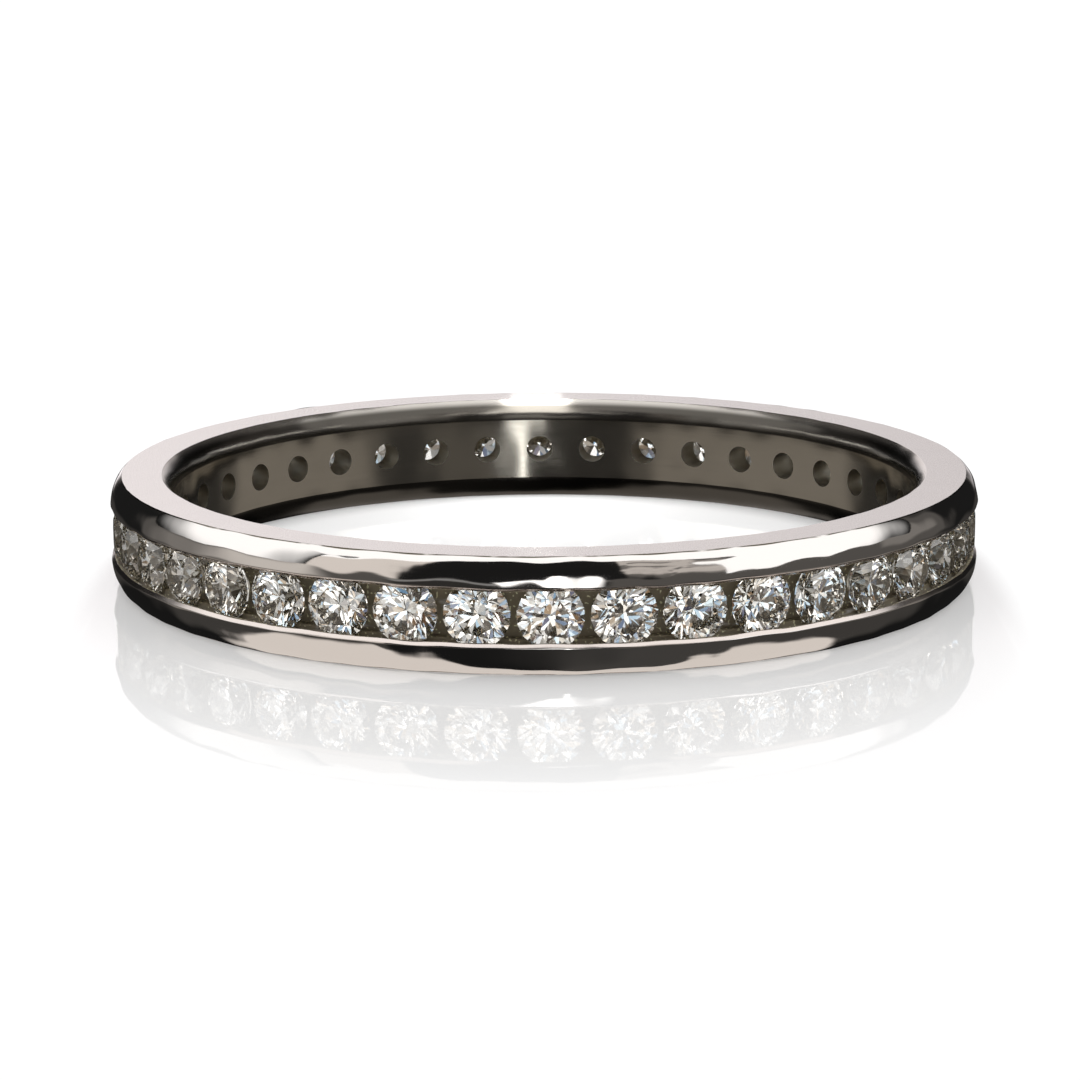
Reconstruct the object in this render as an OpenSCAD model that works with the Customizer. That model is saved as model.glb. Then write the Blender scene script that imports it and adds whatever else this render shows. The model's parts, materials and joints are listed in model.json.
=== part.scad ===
// Channel set band: a ring of round brilliants held between two rails, lying on its side.
// The ring's axis is +Z. The side face it rests on is at z = 0, and -Y is the photographed side.

/* [Finger hole] */
// Inside diameter of the ring, which is the finger size
bore_d = 16.9; // [14:0.1:22]
// Height of the comfort bevel at both mouths of the hole
bevel_h = 0.5; // [0.2:0.05:0.6]
// Width of the comfort bevel across the side face
bevel_w = 0.25; // [0.1:0.05:0.35]

/* [Stones] */
// Girdle diameter of one stone
stone_d = 1.4; // [1.1:0.02:1.7]
// Least gap between the girdles of neighbouring stones
stone_gap = 0.1; // [0.1:0.02:0.6]
// Height of the girdle
girdle_h = 0.04; // [0.02:0.01:0.08]
// Width of the table as a share of the stone
table_share = 0.56; // [0.5:0.01:0.65]
// Slope of the crown's main facets, in degrees
crown_angle = 34.5; // [30:0.5:38]
// Slope of the pavilion's main facets, in degrees
pavilion_angle = 40.8; // [38:0.2:43]
// Length of the star facets as a share of the way from table to girdle
star_share = 0.5; // [0.4:0.05:0.6]
// Length of the lower halves as a share of the pavilion
lower_half_share = 0.77; // [0.65:0.01:0.85]
// How far round the ring the first stone stands from -Y, in degrees
first_stone_turn = 0.75; // [0:0.25:9]
// Turn of each stone on its own axis against the one before, in degrees
stone_twist = 13.7; // [0:0.1:45]

/* [Channel] */
// How far each lip covers the girdle
lip_cover = 0.11; // [0.04:0.01:0.14]
// How far the tables lie below the lips
table_sink = 0.05; // [0:0.01:0.15]
// Chamfer on the inner edge of each lip
lip_ease = 0.05; // [0.01:0.01:0.07]
// Gap between a stone and the metal round it
stone_clear = 0.03; // [0.02:0.005:0.05]
// How much wider the girdle groove is cut than the seats
groove_ease = 0.01; // [0.005:0.005:0.03]
// Depth of the ledges below the girdle
ledge_drop = 0.03; // [0.02:0.01:0.06]
// Width of each ledge along the foot of its rail
ledge_w = 0.24; // [0.15:0.01:0.3]
// Depth of the channel's bed below the girdle
bed_drop = 0.23; // [0.15:0.01:0.3]
// Diameter of the light hole drilled behind each stone
light_hole_d = 0.65; // [0.4:0.05:0.8]
// Metal between the culets and the finger hole
culet_clear = 0.51; // [0.4:0.01:0.9]

/* [Rails] */
// Width of one rail, from the channel to the side face
rail_w = 0.645; // [0.5:0.005:1.2]
// Width of the nearly flat rim beside the channel
rim_w = 0.27; // [0.15:0.01:0.35]
// How far the rim falls away from the lip
rim_fall = 0.03; // [0.01:0.005:0.06]
// How far the shoulder falls from the lip to the side face
shoulder_fall = 0.27; // [0.15:0.01:0.4]
// Bulge of the rounded shoulder above its own chord
shoulder_bulge = 0.04; // [0.02:0.005:0.06]

/* [Hidden] */
// Smoothness of the turned metal
lathe_sides = 180;
arc_sides = 96;
// How far a cutting tool runs past the face it opens
tool_over = 0.3;

// The cut stone, measured from the top plane of its girdle
stone_r = stone_d / 2;
table_r = stone_r * table_share;
crown_h = (stone_r - table_r) * tan(crown_angle);
pavilion_h = stone_r * tan(pavilion_angle);
main_count = 8;
girdle_sides = 2 * main_count;
main_step = 360 / main_count;
girdle_step = 360 / girdle_sides;

// Heights above the ring's axis, from the finger hole out to the lips
bore_r = bore_d / 2;
culet_at = bore_r + culet_clear;
girdle_low_at = culet_at + pavilion_h;
girdle_top_at = girdle_low_at + girdle_h;
lip_r = girdle_top_at + crown_h + table_sink;
ledge_at = girdle_low_at - ledge_drop;
bed_at = girdle_low_at - bed_drop;

// Half widths across the channel, from the ring's middle plane
channel_half = stone_r - lip_cover;
seat_r = stone_r + stone_clear;
groove_half = seat_r + groove_ease;
bed_half = groove_half - ledge_w;
band_half = channel_half + rail_w;

// The undercut that follows the crown
lip_under_at = girdle_top_at + lip_cover * tan(crown_angle) + stone_clear / cos(crown_angle);
groove_top_at = lip_under_at - (groove_half - channel_half) * tan(crown_angle);

// The rim and the rounded shoulder of a rail, as points of radius and half width
crease = [lip_r - rim_fall, channel_half + rim_w];
face_edge = [lip_r - shoulder_fall, band_half];
shoulder_line = face_edge - crease;
shoulder_out = [shoulder_line.y, -shoulder_line.x] / norm(shoulder_line);
shoulder_r = (pow(norm(shoulder_line) / 2, 2) + pow(shoulder_bulge, 2)) / (2 * shoulder_bulge);
shoulder_mid = (crease + face_edge) / 2;

// The bevel's curve leaves the wall of the finger hole without a corner
bevel_r = (pow(bevel_h, 2) + pow(bevel_w, 2)) / (2 * bevel_w);

// The row of stones: as many as fit round the girdle circle
stone_count = floor(2 * PI * girdle_low_at / (stone_d + stone_gap));
stone_step = 360 / stone_count;
function stone_name(i) = str("stone_", i < 10 ? "0" : "", i);

// Corner points of one half of the metal, from the channel's bed round to the finger hole
half_outline = [
    [bed_at, bed_half],
    [ledge_at, bed_half],
    [ledge_at, groove_half],
    [groove_top_at, groove_half],
    [lip_under_at, channel_half],
    [lip_r - lip_ease, channel_half],
    [lip_r, channel_half + lip_ease],
    crease,
    face_edge,
    [bore_r + bevel_w, band_half],
    [bore_r, band_half - bevel_h]
];
outline_last = len(half_outline) - 1;
other_half = [for (i = [outline_last : -1 : 0]) [half_outline[i].x, -half_outline[i].y]];

// The round shoulder of a rail: the part of a circle that lies beyond the line from crease to side face
module shoulder_bow() {
    intersection() {
        translate(shoulder_mid - shoulder_out * (shoulder_r - shoulder_bulge))
            circle(r = shoulder_r, $fn = arc_sides);
        translate([face_edge.x - shoulder_bulge, crease.y])
            square([shoulder_fall + shoulder_bulge, band_half - crease.y]);
    }
}

// The curve of the comfort bevel: the part of a circle that meets the wall and the side face
module bevel_bow() {
    intersection() {
        translate([bore_r + bevel_r, band_half - bevel_h])
            circle(r = bevel_r, $fn = arc_sides);
        translate([bore_r, band_half - bevel_h])
            square([2 * bevel_w, bevel_h]);
    }
}

module band_section() {
    polygon(concat(half_outline, other_half));
    for (side = [0, 1]) mirror([0, side]) {
        shoulder_bow();
        bevel_bow();
    }
}

// What one setting tool takes away: the seat of a pavilion and the light hole below it
module seat_and_light_hole() {
    seat_apex = girdle_low_at - seat_r * tan(pavilion_angle);
    hole_r = light_hole_d / 2;
    rotate_extrude($fn = arc_sides)
        polygon([
            [0, bore_r - tool_over],
            [hole_r, bore_r - tool_over],
            [hole_r, seat_apex + hole_r * tan(pavilion_angle)],
            [seat_r, girdle_low_at],
            [0, girdle_low_at]
        ]);
}

// Puts a thing made along +Z where stone i stands, pointing out of the ring
module at_stone(i) {
    translate([0, 0, band_half])
        rotate([0, 0, -90 + first_stone_turn + (i - 1) * stone_step])
            rotate([0, 90, 0])
                children();
}

module band() {
    color([0.80, 0.78, 0.75])
        difference() {
            translate([0, 0, band_half])
                rotate_extrude($fn = lathe_sides) band_section();
            for (i = [1 : stone_count]) at_stone(i) seat_and_light_hole();
        }
}

function round_point(r, angle, z) = [r * cos(angle), r * sin(angle), z];

// A round brilliant with its girdle's top plane at z = 0: eight mains, stars and halves
module brilliant() {
    mid_turn = main_step / 2;
    star_r = table_r * cos(mid_turn) * (1 - star_share) + stone_r * star_share;
    star_z = crown_h * (stone_r - star_r * cos(mid_turn)) / (stone_r - table_r);
    lower_r = stone_r * (1 - lower_half_share);
    lower_z = -girdle_h - pavilion_h * (stone_r - lower_r * cos(mid_turn)) / stone_r;

    table = [for (k = [0 : main_count - 1]) round_point(table_r, k * main_step, crown_h)];
    stars = [for (k = [0 : main_count - 1]) round_point(star_r, k * main_step + mid_turn, star_z)];
    girdle_top = [for (k = [0 : girdle_sides - 1]) round_point(stone_r, k * girdle_step, 0)];
    girdle_low = [for (k = [0 : girdle_sides - 1]) round_point(stone_r, k * girdle_step, -girdle_h)];
    lowers = [for (k = [0 : main_count - 1]) round_point(lower_r, k * main_step + mid_turn, lower_z)];
    culet = [0, 0, -girdle_h - pavilion_h];

    function t(k) = (k + main_count) % main_count;
    function s(k) = main_count + (k + main_count) % main_count;
    function u(k) = 2 * main_count + (k + girdle_sides) % girdle_sides;
    function w(k) = u(k) + girdle_sides;
    function l(k) = 2 * main_count + 2 * girdle_sides + (k + main_count) % main_count;
    culet_index = 3 * main_count + 2 * girdle_sides;

    polyhedron(
        points = concat(table, stars, girdle_top, girdle_low, lowers, [culet]),
        faces = concat(
            [[for (k = [main_count - 1 : -1 : 0]) t(k)]],
            [for (k = [0 : main_count - 1]) each [
                [t(k + 1), s(k), t(k)],
                [s(k), u(2 * k), s(k - 1), t(k)],
                [u(2 * k + 1), u(2 * k), s(k)],
                [u(2 * k + 2), u(2 * k + 1), s(k)],
                [l(k), w(2 * k), w(2 * k + 1)],
                [l(k), w(2 * k + 1), w(2 * k + 2)],
                [culet_index, l(k - 1), w(2 * k), l(k)]
            ]],
            [for (k = [0 : girdle_sides - 1]) [u(k), u(k + 1), w(k + 1), w(k)]]
        )
    );
}

module stone(i) {
    color([0.86, 0.91, 0.96])
        at_stone(i)
            translate([0, 0, girdle_top_at])
                rotate([0, 0, i * stone_twist])
                    brilliant();
}

band();
for (i = [1 : stone_count])
    stone(i);
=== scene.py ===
# %% [markdown]
# # A channel set band
# This notebook dresses a slim white gold ring for its portrait. The ring lies on its side on a glossy white table.
# Two polished rails hold an unbroken row of forty small brilliants. The construction arrives as a fixed frame of
# solids at real size, and everything below is about how those solids look: how the gold was finished, how the
# stones bend light, and what stands round the ring to be reflected in it.

# %% The frame
import bpy
import json
import math
import numpy as np
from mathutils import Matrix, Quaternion, Vector


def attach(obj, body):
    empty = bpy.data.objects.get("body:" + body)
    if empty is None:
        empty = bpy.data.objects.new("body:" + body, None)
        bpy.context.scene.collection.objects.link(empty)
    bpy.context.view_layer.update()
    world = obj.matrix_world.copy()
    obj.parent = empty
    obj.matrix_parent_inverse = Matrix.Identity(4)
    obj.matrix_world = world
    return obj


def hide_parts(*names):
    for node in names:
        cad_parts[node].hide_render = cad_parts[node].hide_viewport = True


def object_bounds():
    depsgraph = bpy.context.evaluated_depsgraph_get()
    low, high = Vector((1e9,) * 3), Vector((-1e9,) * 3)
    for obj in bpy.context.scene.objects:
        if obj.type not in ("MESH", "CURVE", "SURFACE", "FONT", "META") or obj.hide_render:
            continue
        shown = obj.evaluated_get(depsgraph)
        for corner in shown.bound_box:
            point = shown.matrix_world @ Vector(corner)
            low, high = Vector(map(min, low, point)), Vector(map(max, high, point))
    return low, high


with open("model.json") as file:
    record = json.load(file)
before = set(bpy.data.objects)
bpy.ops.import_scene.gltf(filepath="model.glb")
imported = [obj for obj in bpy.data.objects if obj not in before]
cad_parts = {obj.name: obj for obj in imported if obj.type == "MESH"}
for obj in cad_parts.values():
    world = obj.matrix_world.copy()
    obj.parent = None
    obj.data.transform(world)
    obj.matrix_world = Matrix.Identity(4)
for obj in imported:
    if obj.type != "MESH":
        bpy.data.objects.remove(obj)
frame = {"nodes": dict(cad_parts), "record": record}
cad_low, cad_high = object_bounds()
print("solids in the frame:", len(frame["nodes"]))

# %% [markdown]
# ## Real sizes
# A jeweller thinks in millimetres and Blender works in metres, so one value turns the first into the second.
# What can be measured on the frame is measured: the outside and the width of the band, the finger hole, and the
# girdle of the first stone. What is left are bench sizes, such as how far a lip covers a stone.

# %% Sizes
MM = 0.001
outside_r = cad_high.x
band_width = cad_high.z
half_width = band_width / 2
bore_mount = next(m for m in frame["record"]["mounts"] if m["name"] == "finger_bore")
bore_r = bore_mount["dims"]["r_mm"] * MM
bore_straight = bore_mount["dims"]["length_mm"] * MM
stone_names = sorted(name for name in frame["nodes"] if name.startswith("stone_"))
stone_step = 2 * math.pi / len(stone_names)


def along_stone(name):
    """Every corner of one stone, as its distance out from the ring's axis and from the stone's own axis."""
    corners = np.array([v.co for v in frame["nodes"][name].data.vertices]) - (0, 0, half_width)
    out = corners.mean(axis=0) / np.linalg.norm(corners.mean(axis=0))
    reach = corners @ out
    return out, reach, np.linalg.norm(corners - np.outer(reach, out), axis=1)


first_out, reach, from_axis = along_stone(stone_names[0])
first_turn = math.atan2(first_out[1], first_out[0])
stone_r = from_axis.max()
on_girdle = 0.99 * stone_r
girdle_low = reach[from_axis > on_girdle].min()
print(f"outside {outside_r / MM:.2f} mm, finger hole {bore_r / MM:.2f} mm, stone {stone_r / MM:.3f} mm, all as radii")

# %% [markdown]
# ## The camera
# The camera stands a little above the table, about eight centimetres in front of the ring, with a long lens. Its
# place was found by fitting the ring's four edges, so the ring sits in the frame just as it was photographed.
# The camera is made first, because everything that is reflected is judged from here.

# %% Camera
eye_distance = 80.0 * MM
eye_height_angle = math.radians(11.97)
look_down = math.radians(12.335)
look_left = math.radians(0.0707)
roll = math.radians(-0.2508)
lens_mm, film_mm = 116.18, 36
nearest, farthest = 1 * MM, 10

camera = bpy.data.objects.new("camera", bpy.data.cameras.new("camera"))
bpy.context.scene.collection.objects.link(camera)
bpy.context.scene.camera = camera
camera.location = (0, -eye_distance * math.cos(eye_height_angle),
                   half_width + eye_distance * math.sin(eye_height_angle))
gaze = Vector((-math.sin(look_left) * math.cos(look_down), math.cos(look_left) * math.cos(look_down),
               -math.sin(look_down)))
camera.rotation_mode = "QUATERNION"
camera.rotation_quaternion = gaze.to_track_quat("-Z", "Y") @ Quaternion((0, 0, 1), roll)
camera.data.sensor_width = film_mm
camera.data.lens = lens_mm
camera.data.clip_start = nearest
camera.data.clip_end = farthest
print("camera stands at", [round(v / MM, 1) for v in camera.location], "mm")

# %% [markdown]
# ## Shader maths as arithmetic
# A material is a small sum: take a noise, sharpen it, multiply by a mask. Drawn as nodes, a sum is hard to read, so
# a thin wrapper lets a socket be added and multiplied like a number. Wire is one output socket. Numbers go through
# Math nodes, and as soon as one side is a vector the sum goes through Vector Math.

# %% Wire
class Wire:
    """One output socket, used in ordinary arithmetic."""

    def __init__(self, board, socket):
        self.board, self.socket = board, socket

    def maths(self, operation, *others):
        vector = any(isinstance(one, tuple) for one in others) or self.socket.type == "VECTOR"
        return self.board.node("ShaderNodeVectorMath" if vector else "ShaderNodeMath", {"operation": operation},
                               [self, *others])

    def other(self, name):
        return Wire(self.board, self.socket.node.outputs[name])

    def __add__(self, other):
        return self.maths("ADD", other)

    def __mul__(self, other):
        return self.maths("MULTIPLY", other)

    def __sub__(self, other):
        return self.maths("SUBTRACT", other)

    def __rsub__(self, other):
        return self.board.node("ShaderNodeMath", {"operation": "SUBTRACT"}, [other, self])

    def __truediv__(self, other):
        return self.maths("DIVIDE", other)

    def __neg__(self):
        return self * -1

    def __abs__(self):
        return self.maths("ABSOLUTE")

    __radd__ = __add__
    __rmul__ = __mul__


print("a wire can be added, subtracted, multiplied and divided")

# %% [markdown]
# Board holds one node tree and makes any node the same way: its settings first, then its inputs. The soft masks that
# every material here is built from are a few short methods on it. A Mix node has sockets for numbers, vectors and
# colours side by side under the same names, so those for colours are picked by their place.

# %% Board
mix_mask, mix_without, mix_with, mix_result = 0, 6, 7, 2


class Board:
    """A node tree on which every node is made the same way."""

    def __init__(self, tree):
        self.tree = tree
        tree.nodes.clear()

    def node(self, kind, settings=None, inputs=(), output=0):
        made = self.tree.nodes.new(kind)
        for name, value in (settings or {}).items():
            setattr(made, name, value)
        for key, value in inputs.items() if isinstance(inputs, dict) else enumerate(inputs):
            if isinstance(value, Wire):
                self.tree.links.new(value.socket, made.inputs[key])
            else:
                made.inputs[key].default_value = value
        return Wire(self, made.outputs[output]) if made.outputs else None

    def rise(self, value, start, end):
        """0 before start, 1 after end, and a soft step between."""
        return self.node("ShaderNodeMapRange", {"interpolation_type": "SMOOTHSTEP"},
                         {"Value": value, "From Min": start, "From Max": end})

    def fall(self, value, start, end):
        """1 before start, 0 after end, and a soft step between."""
        return 1 - self.rise(value, start, end)

    def between(self, value, low, high, soft):
        """1 from low to high, with soft steps that reach as far inwards as outwards."""
        return self.rise(value, low - soft, low + soft) * self.fall(value, high - soft, high + soft)

    def mix(self, mask, without, with_mask):
        """One colour painted over another where the mask is 1."""
        return self.node("ShaderNodeMix", {"data_type": "RGBA"},
                         {mix_mask: mask, mix_without: without, mix_with: with_mask}, mix_result)

    def point(self, x, y, z):
        return self.node("ShaderNodeCombineXYZ", {}, [x, y, z])

    def noise(self, place, scale, detail=2.0):
        return self.node("ShaderNodeTexNoise", {}, {"Vector": place, "Scale": scale, "Detail": detail})


print("soft masks on a board: rise, fall and between")

# %% [markdown]
# ## The light tent
# Polished metal has no look of its own: it shows the room. A jewel photographer stands the ring in a white tent and
# leaves gaps on purpose, because a black gap draws the edges that an all white tent would lose. Here the tent is
# painted on the world by direction. Side is the compass direction in degrees, 0 towards the camera and positive to
# the right. Height is degrees above the table. Lamps and cards could do the same, but then each would need a place
# and a size, and the smallest change would move every reflection.

# %% The world and its directions
world = bpy.data.worlds.new("light_tent")
bpy.context.scene.world = world
world.use_nodes = True
tent = Board(world.node_tree)

way = tent.node("ShaderNodeTexCoord", output="Generated")
to_right = tent.node("ShaderNodeSeparateXYZ", {}, [way])
height = to_right.other("Z").maths("ARCSINE") * math.degrees(1)
side = to_right.maths("ARCTAN2", -to_right.other("Y")) * math.degrees(1)
aside = abs(side)
print("nodes that tell a direction:", len(world.node_tree.nodes))

# %% [markdown]
# The upper half of the tent makes the bands on the upper rail and the tone of the upper side face. It starts as one
# dim cloth, and each line paints a card over what is there already, so the order of the lines matters. Behind the
# ring stands a bright backdrop. A pale card stands on either side of the camera, and the right one hangs in folds.
# Every range below is written as its start and its end in degrees, with half the width of its soft edge as a third
# number where the card has two edges.

# %% Cards above the table
def grey(level, warmth=0.0):
    """A light's or a surface's colour: an even grey, tipped towards pink by warmth."""
    return (level * (1 + warmth), level, level * (1 - warmth), 1)


cloth_tone = grey(0.09, 0.06)
backdrop_tone, backdrop_fall = (0.95, 0.90, 0.915), 1.2
backdrop_aside, backdrop_top = (160, 166), (20, 32)
side_tone, left_wall_tone = grey(0.20, 0.06), grey(0.60, 0.06)
left_wall, left_wall_top, left_wall_paler = (-118, -60, 6), (6, 12), (-104, -80)
right_wall = (98, 120, 3), (1, 46, 2)
pink_tone = (0.79, 0.735, 0.69, 1)
left_card = (-68, -30, 2), (8, 64, 2)
right_card = (18, 52, 2), (12, 64, 3)
fold_scale, fold_edge, fold_dark, fold_light = 7.0, (0.38, 0.52), 0.12, 0.56


def patch(sides, heights):
    """A patch of the tent between two sides and two heights."""
    return tent.between(side, *sides) * tent.between(height, *heights)


backdrop = tent.node("ShaderNodeVectorMath", {"operation": "SCALE"},
                     {0: backdrop_tone, "Scale": 1 - to_right * backdrop_fall})
above = tent.mix(tent.rise(aside, *backdrop_aside) * tent.fall(height, *backdrop_top), cloth_tone, backdrop)
left_tone = tent.mix(tent.rise(side, *left_wall_paler), side_tone, left_wall_tone)
above = tent.mix(tent.between(side, *left_wall) * tent.fall(height, *left_wall_top), above, left_tone)
above = tent.mix(patch(*left_card), above, pink_tone)
folds = tent.rise(tent.noise(way, fold_scale), *fold_edge)
above = tent.mix(patch(*right_card) * (fold_dark + folds * fold_light), above, pink_tone)
above = tent.mix(patch(*right_wall), above, side_tone)
print("nodes with the cards above the table:", len(world.node_tree.nodes))

# %% [markdown]
# The dark parts go on top of the cards. Over the camera the tent is open, and that gap is the black field in the
# middle of the upper rail. Its edges lean, and near the foot they run out into tails. A thin card below the gap
# draws the grey line above the stones.

# %% Gaps above the table
gap_black, shade_tone, line_tone = grey(0.012), grey(0.03, 0.05), grey(0.25)
back_corners, back_corners_top = (130, 160, 3), (20, 40)
front_shade, front_shade_top = (-42, 16, 3), (2, 4)
gap_left, gap_right, gap_heights = (-35, -32), (19, 22), (7, 76, 1)
left_lean, right_lean = 0.18, 0.08
tail_heights, tail_length = (8, 30), 4
line_card = (-42, -8, 2), (3.5, 6.5, 0.7)

above = tent.mix(tent.between(aside, *back_corners) * tent.fall(height, *back_corners_top), above, gap_black)
above = tent.mix(tent.between(side, *front_shade) * tent.fall(height, *front_shade_top), above, shade_tone)
tail = tent.fall(height, *tail_heights) * tail_length
from_left = tent.rise(side + height * left_lean + tail, *gap_left)
gap = from_left * tent.fall(side - height * right_lean - tail, *gap_right)
above = tent.mix(gap * tent.between(height, *gap_heights), above, gap_black)
above = tent.mix(patch(*line_card), above, line_tone)
print("nodes with the gaps:", len(world.node_tree.nodes))

# %% [markdown]
# The lower half stands in for the table as the lower rail mirrors it. Close to the ring the table is pale, and that
# makes the pale band along the rail's foot. Further off it is dark. The edge between the two isn't level: it drops
# towards both ends of the ring and rises a little left of the middle. A dark wedge lies in the middle, below the
# gap in the tent.

# %% The table as the rails see it
far_tone, end_tone, end_aside = grey(0.05, 0.06), grey(0.010), (110, 132)
pale_edge = (-38, -33)
left_drop, left_drop_height = (92, 120), 8
right_drop, right_drop_height = (75, 125), 14
hump_start, hump_end, hump_height = (-116, -74), (-52, -40), 10
wedge_left_tone, wedge_right_tone, wedge_blend = grey(0.010), grey(0.055, 0.05), (-20, 30)
wedge_left, wedge_right, wedge_widens_below = (-41, -35), (49, 55), 50

drop = tent.rise(-side, *left_drop) * left_drop_height + tent.rise(side, *right_drop) * right_drop_height
drop = drop - tent.rise(side, *hump_start) * tent.fall(side, *hump_end) * hump_height
dark = tent.mix(tent.rise(aside, *end_aside), far_tone, end_tone)
below = tent.mix(tent.rise(height + drop, *pale_edge), pink_tone, dark)
wedge_tone = tent.mix(tent.rise(side, *wedge_blend), wedge_left_tone, wedge_right_tone)
widening = (-height - wedge_widens_below).maths("MAXIMUM", 0.0)
wedge = tent.rise(side, *wedge_left) * tent.fall(side - widening, *wedge_right)
below = tent.mix(wedge, below, wedge_tone)
print("nodes with the lower half:", len(world.node_tree.nodes))

# %% [markdown]
# The inner wall at the back of the ring mirrors only a thin slice, a few degrees below the level of the table, which
# no other part of the ring shows to the camera. So that slice is painted for the wall alone: pale towards both ends,
# faintly pale right of the middle, and one bright streak.

# %% The slice that the inner wall sees
wall_heights = (-16, -8, 1.5)
wall_dark, wall_pale, streak_white = grey(0.04, 0.06), grey(0.25, 0.10), grey(5.0)
pale_right, pale_left, pale_middle, middle_share = (58, 120, 8), (-118, -32, 8), (14, 38, 4), 0.35
streak = (7.5, 9.5, 1)

pale = tent.between(side, *pale_right) + tent.between(side, *pale_left)
pale = pale + tent.between(side, *pale_middle) * middle_share
wall = tent.mix(pale, wall_dark, wall_pale)
wall = tent.mix(tent.between(side, *streak), wall, streak_white)
below = tent.mix(tent.between(height, *wall_heights), below, wall)
print("nodes with the inner wall's slice:", len(world.node_tree.nodes))

# %% [markdown]
# One small bright lamp stands in front and makes the white block above the middle stones. Its foot ends just below
# the level of the table, above the slice of the inner wall. Its top steps up near the middle and comes down again
# on the right.

# %% The small lamp
lamp_white = grey(2.0)
lamp_left, lamp_right, lamp_lean = (-6.5, -4), (9, 14), 0.5
lamp_foot, lamp_top = (-9, -7), (8, 10)
step_up, step_up_height = (-3, 3), 8
step_down, step_down_height = (7, 14), 9

step = tent.rise(side, *step_up) * step_up_height - tent.rise(side, *step_down) * step_down_height
lamp = tent.rise(side + height * lamp_lean, *lamp_left) * tent.fall(side, *lamp_right)
lamp = lamp * tent.rise(height, *lamp_foot) * tent.fall(height - step, *lamp_top)
print("nodes with the lamp:", len(world.node_tree.nodes))

# %% [markdown]
# The stones get a tent of their own. A stone shows a jumble of what stands all round it, and what counts is only
# how the bright and the dark patches are shared out. Red, green and blue end a little apart at the edge of each
# bright patch, and that gives the stones their fire. The patches are calmer to the left and the right, so that the
# stones at the ends of the row glitter less than those in the middle.

# %% The light that the stones gather
dim_scale, dim_edge, dim_floor, dim_gain = 0.9, (0.40, 0.66), 0.04, 0.26
warm_place, warm_scale, warm_start, warm_end = (7, 0, 0), 1.0, 0.53, 0.61
cool_place, cool_scale, cool_start, cool_end = (0, 5, 0), 1.2, 0.56, 0.64
patch_detail, patch_level = 1.0, 1.45
calm_left, calm_left_share = (0.0, 0.6), 0.75
calm_right, calm_right_share = (0.50, 0.95), 0.6
balance = (1.10, 1.0, 0.88)
parting = ((-0.006, 0.012), (0, 0.002), (0.006, -0.008))

calm = 1 - tent.rise(-to_right, *calm_left) * calm_left_share - tent.rise(to_right, *calm_right) * calm_right_share
dim = dim_floor + tent.rise(tent.noise(way, dim_scale, patch_detail), *dim_edge) * dim_gain
warm = tent.noise(way + warm_place, warm_scale, patch_detail)
cool = tent.noise(way + cool_place, cool_scale, patch_detail)
colours = []
for tone, (warm_shift, cool_shift) in zip(balance, parting):
    bright = tent.rise(warm, warm_start + warm_shift, warm_end + warm_shift)
    bright = bright + tent.rise(cool, cool_start + cool_shift, cool_end + cool_shift)
    colours.append(dim * tone + bright * calm * patch_level)
stone_light = tent.point(*colours)
print("colours parted in the stones' light:", len(colours))

# %% [markdown]
# The two halves meet a little below the level of the table, and the lamp goes over both. Rays that come out of a
# stone get the stones' own light. The camera sees plain white.

# %% The finished tent
meeting = (-8, -5)

seen = tent.mix(tent.rise(height, *meeting), below, above)
seen = tent.mix(lamp, seen, lamp_white)
path = tent.node("ShaderNodeLightPath", output="Is Camera Ray")
seen = tent.mix(path.other("Is Transmission Ray"), seen, stone_light)
seen = tent.mix(path, seen, grey(1.0))
background = tent.node("ShaderNodeBackground", {}, {"Color": seen, "Strength": 1.0})
tent.node("ShaderNodeOutputWorld", {}, [background])
print("nodes in the light tent:", len(world.node_tree.nodes))

# %% [markdown]
# ## Panels close by
# The white panels stand only a few centimetres away, so the front and the back of the ring see them at different
# heights. That is why the front shoulder shows a thin white strip while the bevel at the back is white to its
# middle. A painted sky can't do that, so the panels are real sheets that glow. The side boxes fade towards their
# edges, as a cloth does where the lamp behind it ends. The camera and the stones look past them all.

# %% What a panel is made of
panel_white = 1.3
panel_foot, panel_top = 5.5, 26
front_soft, dim_from, dim_level = 3, 2, 0.5


def glowing(name, level, edge=0, lean=0, fade=0, front=0, front_fade=0):
    """A glowing sheet's material. It can dim towards its leaning back edge and towards its front."""
    material = bpy.data.materials.new(name)
    material.use_nodes = True
    bench = Board(material.node_tree)
    shade = grey(1.0)
    if fade:
        x = bench.node("ShaderNodeSeparateXYZ", {}, [bench.node("ShaderNodeTexCoord", output="Object")])
        deep = x.other("Y") / MM
        past_edge = deep - edge - (x.other("Z") / MM - panel_foot) * lean
        shade = bench.fall(past_edge, -fade, 0)
        if front_fade:
            brighter = bench.rise(deep, front + dim_from, front + front_fade)
            shade = shade * (dim_level + brighter * (1 - dim_level)) * bench.rise(deep, front, front + front_soft)
        shade = bench.point(shade, shade, shade)
    bench.node("ShaderNodeOutputMaterial", {}, [bench.node("ShaderNodeEmission", {}, [shade, level])])
    return material


def panel(name, corners, material):
    """A flat sheet with its corners in millimetres."""
    mesh = bpy.data.meshes.new(name)
    mesh.from_pydata([[v * MM for v in corner] for corner in corners], [], [range(len(corners))])
    mesh.materials.append(material)
    made = bpy.data.objects.new(name, mesh)
    bpy.context.scene.collection.objects.link(made)
    made.visible_camera = False
    made.visible_transmission = False


print("panels glow at", panel_white, "times plain white")

# %% [markdown]
# One panel hangs overhead and one box stands on either side. The back edge of each box leans away as it rises, and
# that sets where the white ends along the shoulders. Two small cards over and behind the back of the ring make the
# one white block there.

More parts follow.
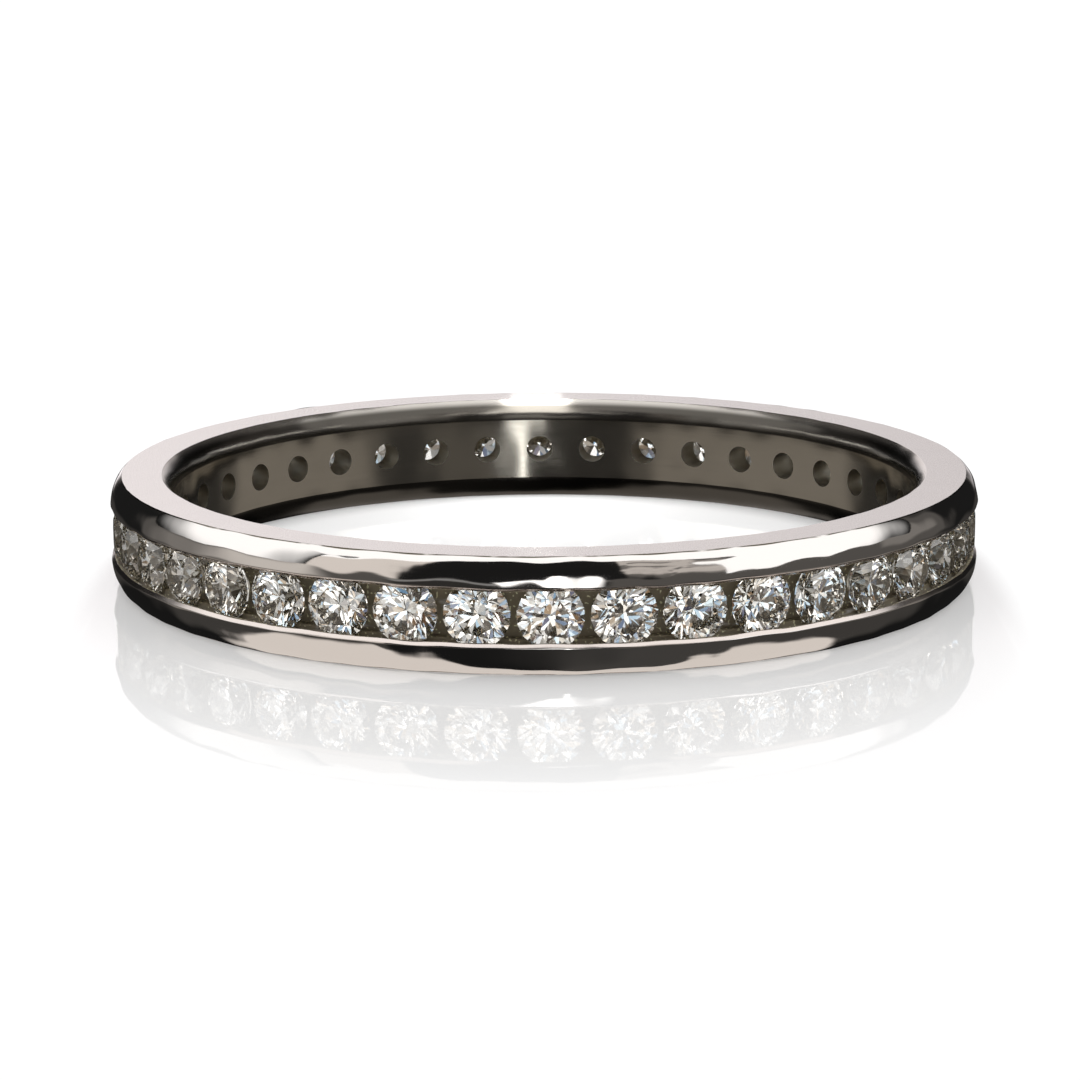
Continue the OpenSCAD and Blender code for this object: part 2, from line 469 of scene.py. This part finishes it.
# %% Panels in place
overhead_front, overhead_back, overhead_aside = -21, 12, 30
box_aside = 25
card_over, card_over_level = 3.6, 11.0
over_back, over_back_left, over_back_right = 9.3, -0.95, 0.57
over_front, over_front_left, over_front_right = 5.4, -0.45, 0.28
card_behind, card_behind_level = 11.0, 1.7
behind_left, behind_right, behind_foot, behind_top = -0.85, 0.47, 2.79, 3.3


def side_box(name, x, front, back_low, back_high, fade, front_fade=0):
    """An upright panel beside the ring, from front to back, whose back edge leans away as it rises."""
    lean = (back_high - back_low) / (panel_top - panel_foot)
    panel(name, [(x, front, panel_foot), (x, back_low, panel_foot), (x, back_high, panel_top), (x, front, panel_top)],
          glowing(name, panel_white, back_low, lean, fade, front, front_fade))


panel("overhead_panel", [(-overhead_aside, overhead_front, panel_top), (overhead_aside, overhead_front, panel_top),
                         (overhead_aside, overhead_back, panel_top), (-overhead_aside, overhead_back, panel_top)],
      glowing("overhead_panel", panel_white))
side_box("left_box", -box_aside, front=-18, back_low=4.7, back_high=25.2, fade=12, front_fade=9)
side_box("right_box", box_aside, front=-30, back_low=-0.8, back_high=15.8, fade=8)
panel("card_above_back", [(over_back_left, over_back, card_over), (over_back_right, over_back, card_over),
                          (over_front_right, over_front, card_over), (over_front_left, over_front, card_over)],
      glowing("card_above_back", card_over_level))
panel("card_behind_back", [(behind_left, card_behind, behind_foot), (behind_right, card_behind, behind_foot),
                           (behind_right, card_behind, behind_top), (behind_left, card_behind, behind_top)],
      glowing("card_behind_back", card_behind_level))
print("panels up to", panel_top, "mm above the table")

# %% [markdown]
# ## The table
# A sheet of glossy white plastic carries the ring and gives the pale mirror image below it. The ring's own
# reflections of the table come from the world's lower half, so the sheet hides from them and shows only itself.
# Away from the ring the sheet is lit until it is pure white, and inside the finger hole a little more glow is painted
# on it.
# How far a point lies in front of the ring's outline decides how much of the mirror image is left there. All the
# distances are in millimetres from the ring's axis.

# %% The table's sheet
sheet_tone, sheet_roughness, sheet_ior = grey(0.80), 0.02, 1.5
# hole_glow is painted light: the sheet glows a little brighter inside the finger hole than round the ring
hole_glow, table_glow, hole_edge = grey(0.47), grey(0.27), (7.6, 8.6)
blown_level = 1.05
image_fade, image_ends, behind_start = (2.6, 12), (9.9, 10.8), (-2, 3)


def glossy_table():
    """The table's material: a glossy sheet close to the ring, pure white away from it."""
    material = bpy.data.materials.new("glossy_table")
    material.use_nodes = True
    bench = Board(material.node_tree)
    x = bench.node("ShaderNodeSeparateXYZ", {}, [bench.node("ShaderNodeTexCoord", output="Object")])
    across, deep = x / MM, x.other("Y") / MM
    from_axis = (across * across + deep * deep).maths("SQRT")
    ring_edge = (outside_r / MM) ** 2 - across * across
    in_front = -deep - ring_edge.maths("MAXIMUM", 0.0).maths("SQRT")
    sheet = bench.node("ShaderNodeBsdfPrincipled", {}, {
        "Base Color": sheet_tone, "Roughness": sheet_roughness, "IOR": sheet_ior,
        # painted light: more glow inside the finger hole
        "Emission Color": bench.mix(bench.rise(from_axis, *hole_edge), hole_glow, table_glow),
        "Emission Strength": 1.0,
    })
    blown = bench.node("ShaderNodeEmission", {}, [grey(1.0), blown_level])
    behind = bench.rise(from_axis, *image_ends) * bench.rise(deep, *behind_start)
    near = bench.fall(in_front, *image_fade) * bench.fall(abs(across), *image_ends) * (1 - behind)
    bench.node("ShaderNodeOutputMaterial", {}, [bench.node("ShaderNodeMixShader", {}, [1 - near, sheet, blown])])
    return material


table_material = glossy_table()
print("nodes in the table's sheet:", len(table_material.node_tree.nodes))

# %% The table
table_r = 1.2
table_sides = 96

rim_angles = np.linspace(0, 2 * math.pi, table_sides, endpoint=False)
rim_points = [(table_r * math.cos(a), table_r * math.sin(a), 0) for a in rim_angles]
table_mesh = bpy.data.meshes.new("table")
table_mesh.from_pydata(rim_points, [], [range(table_sides)])
table_mesh.materials.append(table_material)
table = bpy.data.objects.new("table", table_mesh)
bpy.context.scene.collection.objects.link(table)
table.visible_glossy = False
table.visible_transmission = False
print("table is", 2 * table_r, "m across")

# %% [markdown]
# ## The gold
# White gold is a warm grey metal under its polish. One function makes every finish on the band, because they are
# one metal worked with different tools: a felt wheel on the rails, a burnisher on the lips, fine emery on the side
# faces, a cutter and a drill inside the channel. Each finish has its own hairlines, which run round the ring as the
# tool did, so a point is first told by how far round, how far out and how high it lies.

# %% Places on the ring
def ring_places(bench):
    """Where a point lies on the ring in millimetres: how far round, how far out and how high."""
    place = bench.node("ShaderNodeTexCoord", output="Object")
    x = bench.node("ShaderNodeSeparateXYZ", {}, [place])
    y, z = x.other("Y"), x.other("Z")
    out = (x * x + y * y).maths("SQRT")
    turn = y.maths("ARCTAN2", x)
    return turn * (outside_r / MM), out / MM, z / MM


print("once round the ring is", round(2 * math.pi * outside_r / MM, 1), "mm")

# %% [markdown]
# Two marks go on the metal. Down in the channel there is polishing grime. It isn't metal, so it is dull and
# brown, and bright specks are painted in it as the glints of gold grains. Along the top of the shoulder, where it
# meets the side face, a fine dark line of painted shade runs, broken here and there.

# %% Grime and the painted edge shade
shoulder_fall = 0.27 * MM
# The second tone paints bright specks into the grime, as the glints of gold grains.
soil_brown, painted_glint_tone = (0.26, 0.22, 0.15, 1), (0.80, 0.76, 0.50, 1)
soil_edge, soil_span = (0.72, 0.86), 0.6
glint_speck_scale, glint_speck_edge = 15.0, (0.66, 0.72)
# the tone and the breaks of the painted shade line at the top of the shoulder
edge_shade_tone, edge_shade_breaks = (0.085, 0.070, 0.045, 1), (0.3, 0.5)
edge_shade_start, edge_shade_end = 0.012, 0.028


def with_grime(bench, place, cloud, tone, share):
    """The tone with grime over a share of it, and the mask of that grime. Bright specks painted in the grime stand in
    for glints of gold.
    """
    soil = bench.rise(cloud, *[edge - soil_span * share for edge in soil_edge])
    # painted glints: bright specks in the grime's colour
    painted_glint = bench.rise(bench.noise(place, glint_speck_scale, 0.0), *glint_speck_edge)
    return bench.mix(soil, tone, bench.mix(painted_glint, soil_brown, painted_glint_tone)), soil


def with_edge_shade(bench, out, cloud, tone):
    """The tone with a fine dark line of painted shade at the top of the shoulder."""
    shoulder_top = (outside_r - shoulder_fall) / MM
    # painted shade: a fine dark line at the top of the shoulder, broken where the cloud noise is low
    line = bench.fall(out, shoulder_top + edge_shade_start, shoulder_top + edge_shade_end) * bench.rise(cloud, *edge_shade_breaks)
    return bench.mix(line, tone, edge_shade_tone)


print("the fine line is", round(edge_shade_end - edge_shade_start, 3), "mm wide")

# %% [markdown]
# The maker of finishes puts it all together. Marks and swell are two noises, one stretched along the tool's path and
# one even, and they move both the relief and the roughness. A photograph of scratched metal would be quicker, but it
# would not follow the ring round.

# %% One maker for every finish
MICRON = 0.001 * MM
swell_scale, cloud_scale, cloud_stretch = 2.4, 1.3, 3
# heights where shade is painted close to the table and light close to the upper side face
foot_zone, top_light_zone = (0.15, 0.75), (2.30, 2.46)
soil_dulls, soil_roughens = 0.9, 0.2


def gold_finish(name, tone, roughness, spread, hairlines, grain, ripples=0.0, soiled=0.0,
                foot_shade=1.0, top_painted_light=None, edge_shade_line=False):
    """The band's metal with one tool's marks.

    Hairlines and ripples are depths in micrometres, spread is how much the hairlines vary the roughness, and grain
    is how many of them fit in a millimetre along and across. Soiled is the share that grime covers. The foot shade
    paints shade on the metal close to the table, and the top tone paints light on it close to the upper side face.
    The last argument paints a fine dark line of shade at the top of the shoulder.
    """
    material = bpy.data.materials.new(name)
    material.use_nodes = True
    bench = Board(material.node_tree)
    around, out, up = ring_places(bench)
    along, across = grain
    place = bench.point(around, out, up)
    marks = bench.noise(bench.point(around * along, out * across, up * across), 1.0, 3.0)
    swell = bench.noise(place, swell_scale, 1.0)
    cloud = bench.noise(bench.point(around, out * cloud_stretch, up * cloud_stretch), cloud_scale, 3.0)
    relief = marks * (hairlines * MICRON) + swell * (ripples * MICRON)
    tinted, soil = with_grime(bench, place, cloud, tone, soiled) if soiled else (tone, 0.0)
    # painted light close to the upper side face, then painted shade close to the table
    if top_painted_light:
        tinted = bench.mix(bench.rise(up, *top_light_zone), tinted, top_painted_light)
    shaded = bench.mix(bench.rise(up, *foot_zone), [c * foot_shade for c in tone[:3]] + [1], tinted)
    # painted shade: a fine dark line at the top of the shoulder
    if edge_shade_line:
        shaded = with_edge_shade(bench, out, cloud, shaded)
    metal = bench.node("ShaderNodeBsdfPrincipled", {}, {
        "Base Color": shaded,
        "Metallic": 1.0 - soil * soil_dulls,
        "Roughness": roughness + marks * spread + soil * soil_roughens,
        "Normal": bench.node("ShaderNodeBump", {}, {"Height": relief, "Strength": 1.0, "Distance": 1.0}),
    })
    bench.node("ShaderNodeOutputMaterial", {}, [metal])
    return material


print("relief is counted in steps of", MICRON, "m")

# %% Finishes of the gold
# bevel_shade is painted shade: the bevel is tinted near black where its reflections are dark. Light is painted over
# its top, and shade over its foot. wall_shade and drill_shade are painted shade on the inner wall and in the light
# holes.
gold_tone = (0.80, 0.765, 0.735, 1)
lip_tone = (0.68, 0.61, 0.57, 1)
painted_light_tone = (0.60, 0.565, 0.52, 1)
wall_shade = (0.55, 0.52, 0.455, 1)
bevel_shade = (0.09, 0.083, 0.072, 1)
drill_shade = (0.42, 0.39, 0.33, 1)
finishes = [
    gold_finish("polished_gold", gold_tone, roughness=0.04, spread=0.05, hairlines=0.12, grain=(1.5, 22),
                ripples=2.0, edge_shade_line=True),
    gold_finish("burnished_gold", lip_tone, roughness=0.10, spread=0.10, hairlines=0.3, grain=(6, 22), ripples=2.0),
    gold_finish("satin_gold", gold_tone, roughness=0.20, spread=0.14, hairlines=1.2, grain=(30, 30)),
    gold_finish("cut_gold", gold_tone, roughness=0.45, spread=0.30, hairlines=3.0, grain=(14, 14), soiled=0.75),
    gold_finish("bevel_gold", bevel_shade, roughness=0.16, spread=0.10, hairlines=0.3, grain=(0.8, 26),
                foot_shade=0.8, top_painted_light=painted_light_tone),
    gold_finish("hole_gold", wall_shade, roughness=0.10, spread=0.08, hairlines=0.3, grain=(0.8, 26)),
    gold_finish("drilled_gold", drill_shade, roughness=0.30, spread=0.20, hairlines=0.6, grain=(14, 14)),
]
POLISHED, BURNISHED, SATIN, CUT, BEVEL, HOLE, DRILLED = range(len(finishes))
print("finishes of the gold:", [m.name for m in finishes])

# %% [markdown]
# ## The outline of the band
# The band is turned like a pot: one outline goes round the ring's axis. Each corner of the outline has a radius,
# because polishing rounds every edge a little and it is this thin round that catches the light along a rail.
# A bevel modifier could round the edges, but rounding the outline first is exact and costs nothing. The rim beside
# each lip bows out by a few thousandths of a millimetre. A flat rim would mirror a single height of the tent, and
# the bow spreads that into a band with a soft end.

# %% Outline
lip_cover = 0.15 * MM
lip_ease = 0.07 * MM
stone_clear = 0.03 * MM
groove_ease = 0.01 * MM
ledge_drop = 0.03 * MM
ledge_w = 0.24 * MM
bed_drop = 0.23 * MM
rim_w = 0.27 * MM
rim_fall = 0.03 * MM
rim_bulge = 0.004 * MM
shoulder_bulge = 0.04 * MM
bevel_w = 0.25 * MM
crown_angle = math.radians(34.5)
pavilion_angle = math.radians(40.8)
girdle_h = 0.04 * MM

bevel_h = (band_width - bore_straight) / 2
channel_half = stone_r - lip_cover
groove_half = stone_r + stone_clear + groove_ease
bed_half = groove_half - ledge_w
ledge_at = girdle_low - ledge_drop
bed_at = girdle_low - bed_drop
lip_under_at = girdle_low + girdle_h + lip_cover * math.tan(crown_angle) + stone_clear / math.cos(crown_angle)
groove_top_at = lip_under_at - (groove_half - channel_half) * math.tan(crown_angle)
fine, soft = 0.012 * MM, 0.03 * MM
rim_steps, shoulder_steps, bevel_steps = 6, 12, 8


def bow(start, end, bulge, steps):
    """Points between two corners on the arc that rises bulge to the right of the straight way."""
    start, end = np.array(start), np.array(end)
    chord = end - start
    length = np.linalg.norm(chord)
    right = np.array([chord[1], -chord[0]]) / length
    radius = (length ** 2 / 4 + bulge ** 2) / (2 * bulge)
    centre = (start + end) / 2 + right * (bulge - radius)
    first = math.atan2(*(start - centre)[::-1])
    sweep = 2 * math.asin(length / 2 / radius)
    angles = first + sweep * np.arange(1, steps) / steps
    return [tuple(centre + radius * np.array([math.cos(a), math.sin(a)])) for a in angles]


def half_outline():
    """Corners of the upper half as (radius out, height, rounding, finish of the stretch that follows)."""
    lip = (outside_r, channel_half + lip_ease)
    crease = (outside_r - rim_fall, channel_half + rim_w)
    face_edge = (outside_r - shoulder_fall, half_width)
    bevel_top = (bore_r + bevel_w, half_width)
    bevel_foot = (bore_r, half_width - bevel_h)
    bevel_radius = (bevel_h ** 2 + bevel_w ** 2) / (2 * bevel_w)
    bevel_bulge = bevel_radius - math.sqrt(bevel_radius ** 2 - (bevel_h ** 2 + bevel_w ** 2) / 4)
    corners = [
        (bed_at, 0, 0, CUT),
        (bed_at, bed_half, 0, CUT),
        (ledge_at, bed_half, 0, CUT),
        (ledge_at, groove_half, 0, CUT),
        (groove_top_at, groove_half, 0, CUT),
        (lip_under_at, channel_half, fine, CUT),
        (outside_r - lip_ease, channel_half, fine, BURNISHED),
        (*lip, soft, POLISHED),
        *[(*p, 0, POLISHED) for p in bow(lip, crease, rim_bulge, rim_steps)],
        (*crease, 0, POLISHED),
        *[(*p, 0, POLISHED) for p in bow(crease, face_edge, shoulder_bulge, shoulder_steps)],
        (*face_edge, soft, SATIN),
        (*bevel_top, fine, BEVEL),
        *[(*p, 0, BEVEL) for p in bow(bevel_top, bevel_foot, bevel_bulge, bevel_steps)],
        (*bevel_foot, 0, HOLE),
        (bore_r, bevel_foot[1] / 2, 0, HOLE),
        (bore_r, 0, 0, HOLE),
    ]
    return corners


upper_half = half_outline()
print("corners in half an outline:", len(upper_half))

# %% [markdown]
# The lower half is the mirror image, walked the other way so that the outline closes. Each rounded corner then
# becomes a short arc, and a guard point on either side of it keeps the flat beside it flat under smooth shading.

# %% Rounded corners
round_steps = 3
guard = 0.012 * MM
guard_room = 4
most_of_side = 0.45


def mirrored(half):
    """The other half of the outline: the same corners in reverse, each with the finish of its own stretch."""
    finishes_back = [half[i - 1][3] for i in range(len(half) - 1, 0, -1)]
    return [(r, -z, rounding, finish)
            for (r, z, rounding, _), finish in zip(half[:0:-1], finishes_back)]


def rounded(corners):
    """The outline's points and the finish of the stretch after each."""
    points, stretch = [], []
    for i, (r, z, rounding, finish) in enumerate(corners):
        here = np.array([r, z])
        back = np.array(corners[i - 1][:2]) - here
        ahead = np.array(corners[(i + 1) % len(corners)][:2]) - here
        if not rounding:
            points.append(here)
            stretch.append(finish)
            continue
        u, v = back / np.linalg.norm(back), ahead / np.linalg.norm(ahead)
        half_angle = math.acos(np.clip(u @ v, -1, 1)) / 2
        room = most_of_side * min(np.linalg.norm(back), np.linalg.norm(ahead))
        leave = min(rounding / math.tan(half_angle), room)
        centre = here + (u + v) / np.linalg.norm(u + v) * leave / math.cos(half_angle)
        before = corners[i - 1][3]
        if np.linalg.norm(back) > guard_room * (leave + guard):
            points.append(here + u * (leave + guard))
            stretch.append(before)
        for step in range(round_steps + 1):
            share = step / round_steps
            chord_point = here + u * leave * (1 - share) + v * leave * share
            spoke = chord_point - centre
            reach_out = np.linalg.norm(here + u * leave - centre)
            points.append(centre + spoke / np.linalg.norm(spoke) * reach_out)
            stretch.append(before if share < 0.5 else finish)
        if np.linalg.norm(ahead) > guard_room * (leave + guard):
            points.append(here + v * (leave + guard))
            stretch.append(finish)
    return np.array(points), stretch


outline, outline_finish = rounded(upper_half + mirrored(upper_half))
print("points round the outline:", len(outline))

# %% [markdown]
# ## Turning the band
# A lathe would give a perfect surface, and a perfect surface looks drawn. The real rails were filed and polished by
# hand, so each reflection in them wanders a little. A handful of slow waves, a few thousandths of a millimetre high,
# move the surface in and out. The lips wander more, because a hammer set them down over each stone.

# %% Waves of the hand
wave_count = 22
fewest_waves, most_waves, steepest_slant = 4, 60, 6


def hand_waves(angles, along, seed):
    """A sum of slow waves that run round the ring and across its outline, about one high."""
    dice = np.random.default_rng(seed)
    total = 0
    for _ in range(wave_count):
        around = int(dice.integers(fewest_waves, most_waves))
        across = dice.uniform(-steepest_slant, steepest_slant) / MM
        total = total + np.sin(around * angles + across * along + dice.uniform(0, 2 * math.pi))
    return total


print("waves in one hand:", wave_count)

# %% Turning
turns = 640
rail_seed, lip_seed = 5, 8
wave_reach = 0.0013 * MM
lip_reach = 0.012 * MM
lip_spread = 3 * lip_ease
lip_along = 0.9 * MM
hand_share = {POLISHED: 1.0, BURNISHED: 1.0, SATIN: 0.25, CUT: 0.0, BEVEL: 0.6, HOLE: 0.6}


def turned_band():
    """The band's skin before the seats are cut: corners in metres and the finish of each face."""
    angles = (np.arange(turns) * 2 * math.pi / turns)[:, None]
    ahead = np.roll(outline, -1, axis=0) - outline
    along = np.concatenate([[0], np.cumsum(np.linalg.norm(ahead, axis=1))[:-1]])[None, :]
    tangent = np.roll(outline, -1, axis=0) - np.roll(outline, 1, axis=0)
    outward = np.stack([tangent[:, 1], -tangent[:, 0]], axis=1) / np.linalg.norm(tangent, axis=1)[:, None]
    hand = np.array([hand_share[finish] for finish in outline_finish])
    push = hand_waves(angles, along, rail_seed) * wave_reach * hand
    from_lip = abs(abs(outline[:, 1]) - channel_half)
    lip = np.clip(1 - from_lip / lip_spread, 0, 1) * (outline[:, 0] > lip_under_at)
    lip_waves = hand_waves(angles, np.sign(outline[:, 1]) * lip_along, lip_seed)
    sway = lip_waves / math.sqrt(wave_count) * lip_reach * lip
    r = outline[:, 0] + push * outward[:, 0]
    z = outline[:, 1] + push * outward[:, 1] + sway * np.sign(outline[:, 1])
    corners = np.stack([r * np.cos(angles), r * np.sin(angles), z + half_width], axis=2).reshape(-1, 3)
    count = len(outline)
    i = np.arange(count)
    faces = []
    for turn in range(turns):
        here, next_turn = turn * count, (turn + 1) % turns * count
        faces += np.stack([here + i, next_turn + i, next_turn + (i + 1) % count, here + (i + 1) % count], 1).tolist()
    return corners, faces, outline_finish * turns


def closed_mesh(name, corners, faces, finish):
    """An object made of these corners and faces, with each face in its own finish."""
    mesh = bpy.data.meshes.new(name)
    mesh.from_pydata(corners, [], faces)
    for material in finishes:
        mesh.materials.append(material)
    mesh.polygons.foreach_set("material_index", finish)
    mesh.update()
    made = bpy.data.objects.new(name, mesh)
    bpy.context.scene.collection.objects.link(made)
    return made


gold_band = closed_mesh("gold_band", *turned_band())
print("faces on the turned band:", len(gold_band.data.polygons))

# %% [markdown]
# ## Cutting the seats
# The setter drills a light hole through the band behind each stone and opens it into a cone for the stone's
# pavilion. One cutter shape, turned to every stone's place, takes all forty away in one subtraction. The manifold
# solver is used because it is fast and leaves the polished faces beside the cuts as they were.

# %% Seats and light holes
hole_r = 0.65 * MM / 2
seat_r = stone_r + stone_clear
cutter_sides = 48
cutter_over = 0.3 * MM
sharp_from = math.radians(32)


def seat_cutters():
    """Forty closed cutters in one mesh, each a light hole and the cone above it."""
    apex = girdle_low - seat_r * math.tan(pavilion_angle)
    cone_foot = apex + hole_r * math.tan(pavilion_angle)
    profile = [(bore_r - cutter_over, hole_r), (cone_foot, hole_r), (girdle_low, seat_r)]
    ring = 2 * math.pi * np.arange(cutter_sides) / cutter_sides
    corners, faces, finish = [], [], []
    for stone in range(len(stone_names)):
        turn = first_turn + stone * stone_step
        out = np.array([math.cos(turn), math.sin(turn), 0])
        level = np.array([-math.sin(turn), math.cos(turn), 0])
        start = len(corners)
        for reach_out, radius in profile:
            for a in ring:
                spot = out * reach_out + (level * math.cos(a) + np.array([0, 0, math.sin(a)])) * radius
                corners.append(spot + (0, 0, half_width))
        for layer, tooled in enumerate((DRILLED, CUT)):
            low, high = start + layer * cutter_sides, start + (layer + 1) * cutter_sides
            faces += [[low + k, low + (k + 1) % cutter_sides, high + (k + 1) % cutter_sides, high + k]
                      for k in range(cutter_sides)]
            finish += [tooled] * cutter_sides
        faces.append([start + k for k in reversed(range(cutter_sides))])
        faces.append([start + (len(profile) - 1) * cutter_sides + k for k in range(cutter_sides)])
        finish += [CUT, CUT]
    return corners, faces, finish


cutters = closed_mesh("seat_cutters", *seat_cutters())
cut = gold_band.modifiers.new("seats", "BOOLEAN")
cut.operation = "DIFFERENCE"
cut.solver = "MANIFOLD"
cut.object = cutters
finished = bpy.data.meshes.new_from_object(gold_band.evaluated_get(bpy.context.evaluated_depsgraph_get()))
gold_band.modifiers.clear()
gold_band.data = finished
bpy.data.objects.remove(cutters)
finished.polygons.foreach_set("use_smooth", [True] * len(finished.polygons))
finished.set_sharp_from_angle(angle=sharp_from)
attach(gold_band, "root")
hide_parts("band")
finished.calc_loop_triangles()
print("triangles in the finished band:", len(finished.loop_triangles))

# %% [markdown]
# ## The stones
# A diamond slows light to two fifths of its speed. Rays that enter the crown bounce once or twice in the pavilion
# and leave through the crown again. The stones in the frame are cut with all their facets, so they only need the
# right glass, whose index sends every ray the way a real stone would. A real diamond also parts the colours, blue a
# little more than red. Three glasses with an index each could do that, but the picture would turn grainy, so the
# parting is painted into the light that the stones gather.

# %% Diamond
diamond_ior = 2.417
stone_tint = (0.985, 0.98, 0.968, 1)

diamond = bpy.data.materials.new("cut_diamond")
diamond.use_nodes = True
stone_board = Board(diamond.node_tree)
glass = stone_board.node("ShaderNodeBsdfGlass", {"distribution": "BECKMANN"},
                         {"Color": stone_tint, "Roughness": 0.0, "IOR": diamond_ior})
stone_board.node("ShaderNodeOutputMaterial", {}, [glass])

for name in stone_names:
    stone = frame["nodes"][name]
    stone.data.materials.clear()
    stone.data.materials.append(diamond)
print("stones dressed:", len(stone_names))

# %% [markdown]
# ## Light paths and tones
# A ray may bounce a dozen times inside a stone before it leaves, so the limit on bounces is raised. The standard
# view keeps the table white and the gaps in the tent black, as a high key jewel photograph does.

# %% Render paths
bounces = 28

paths = bpy.context.scene.cycles
paths.max_bounces = bounces
paths.glossy_bounces = bounces
paths.transmission_bounces = bounces
bpy.context.scene.view_settings.view_transform = "Standard"
print("bounces allowed:", paths.max_bounces)
